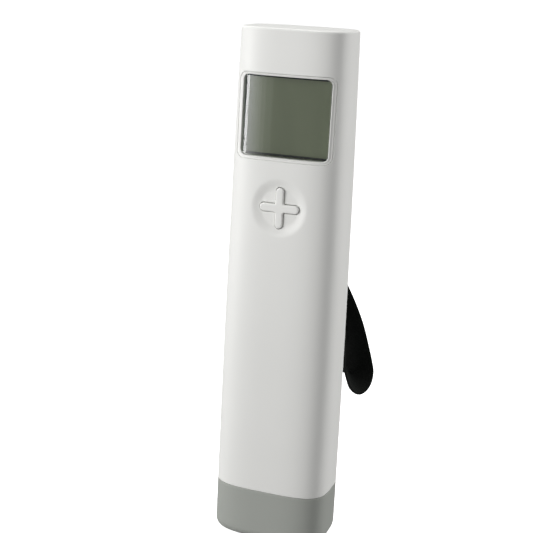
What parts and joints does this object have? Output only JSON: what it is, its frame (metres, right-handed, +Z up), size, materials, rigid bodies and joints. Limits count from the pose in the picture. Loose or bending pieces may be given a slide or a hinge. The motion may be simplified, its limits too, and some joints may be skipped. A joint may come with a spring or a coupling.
{
  "type": "digital water tester",
  "caption": "Tall white hand-held pool water tester with a display, a cross-shaped button, a webbing hand loop and a grey storage cap over its electrodes.",
  "frame": {"origin": "centre of the flat base of the storage cap, which the tester stands on", "axes": "+Z up along the column, -Y out of the front with the display, +X to the right seen from the front"},
  "size_m": [0.0509, 0.0531, 0.2004],
  "materials": {
    "white_shell": "fine satin moulded plastic",
    "bezel_white": "satin moulded plastic",
    "button_white": "satin moulded plastic",
    "grey_cap": "fine satin moulded plastic",
    "probe_grey": "moulded plastic",
    "clear_lens": "clear polished acrylic",
    "lcd_cell": "olive reflective liquid crystal cell",
    "black_webbing": "woven polyester webbing",
    "black_plastic": "matte",
    "rubber_seal": "matte",
    "silicone": "matte silicone",
    "board_green": "solder mask on glass-epoxy board",
    "bright_steel": "bright steel",
    "cell_wrap": "plain printed cell sleeve",
    "probe_glass": "clear glass",
    "ceramic": "porous ceramic",
    "platinum": "polished platinum",
    "ribbon_grey": "flexible flat cable",
    "sponge": "open-cell sponge"
  },
  "bodies": {
    "cap": {"storage_cap": "grey_cap", "cap_sponge": "sponge"},
    "tester": {"front_shell": "white_shell", "rear_cover": "white_shell", "shell_gasket": "rubber_seal", "window_bezel": "bezel_white", "window_lens": "clear_lens", "lcd_glass": "lcd_cell", "lcd_frame": "black_plastic", "zebra_strip_top": "rubber_seal", "zebra_strip_bottom": "rubber_seal", "button_membrane": "silicone", "tact_switch": "black_plastic", "main_board": "board_green", "controller_chip": "black_plastic", "amplifier_chip": "black_plastic", "clock_crystal": "bright_steel", "buzzer": "black_plastic", "battery_tray": "black_plastic", "battery_left": "cell_wrap", "battery_right": "cell_wrap", "contact_plate_top": "bright_steel", "contact_plate_bottom": "bright_steel", "contact_spring_left": "bright_steel", "contact_spring_right": "bright_steel", "door_gasket": "rubber_seal", "strap_bar": "bright_steel", "probe_block": "probe_grey", "cap_seal_ring": "rubber_seal", "ph_electrode": "probe_glass", "reference_electrode": "ceramic", "orp_electrode": "platinum", "conductivity_pin_front": "bright_steel", "conductivity_pin_rear": "bright_steel", "temperature_probe": "bright_steel", "probe_board": "board_green", "probe_ribbon": "ribbon_grey", "cover_screw_1": "bright_steel", "cover_screw_2": "bright_steel", "cover_screw_3": "bright_steel", "cover_screw_4": "bright_steel"},
    "button": {"button_cap": "button_white"},
    "door": {"battery_door": "white_shell", "door_screw_1": "bright_steel", "door_screw_2": "bright_steel"},
    "strap": {"strap_tab": "black_webbing", "strap_webbing": "black_webbing"}
  },
  "joints": [
    {"name": "cap_pull", "type": "slide", "parent": "cap", "child": "tester", "axis": [0, 0, 1], "range_m": [0, 0.045]},
    {"name": "button_press", "type": "slide", "parent": "tester", "child": "button", "axis": [0, 1, 0], "range_m": [0, 0.0006], "stiffness_N_per_m": 2000, "springref_m": -0.0003, "deforming": ["button_membrane"]},
    {"name": "battery_door_lift", "type": "slide", "parent": "tester", "child": "door", "axis": [0, 1, 0], "range_m": [0, 0.015]},
    {"name": "strap_swing", "type": "hinge", "parent": "tester", "child": "strap", "pos_m": [0.006, 0.0124, 0.118], "axis": [1, 0, 0], "range_deg": [0, 70]}
  ]
}
